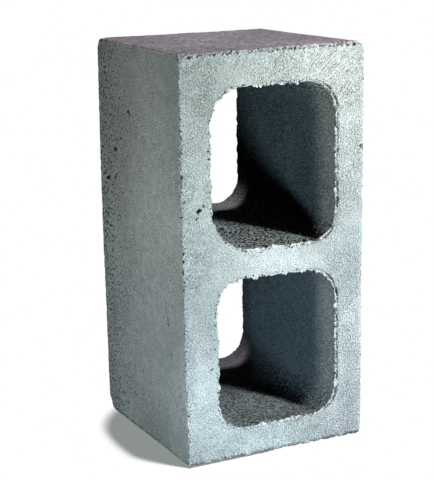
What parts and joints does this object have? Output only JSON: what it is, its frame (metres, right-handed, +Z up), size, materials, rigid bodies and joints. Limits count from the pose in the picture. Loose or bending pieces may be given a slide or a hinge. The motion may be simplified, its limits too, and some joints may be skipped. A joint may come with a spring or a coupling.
{
  "type": "concrete block",
  "caption": "Hollow cast concrete block with rounded, slightly tapered cores running through it, stored standing on one end; used to build walls, supports and low shelving.",
  "frame": {"origin": "middle of the bottom end, on the floor that the block stands on", "axes": "+Z up along the block's length, X across the two face shells, Y along the cores with the wide core mouths at -Y"},
  "size_m": [0.2, 0.2, 0.4],
  "materials": {
    "concrete": "rough, granular cast concrete, pale blue-grey"
  },
  "bodies": {
    "root": {"concrete_block": "concrete"}
  },
  "joints": []
}
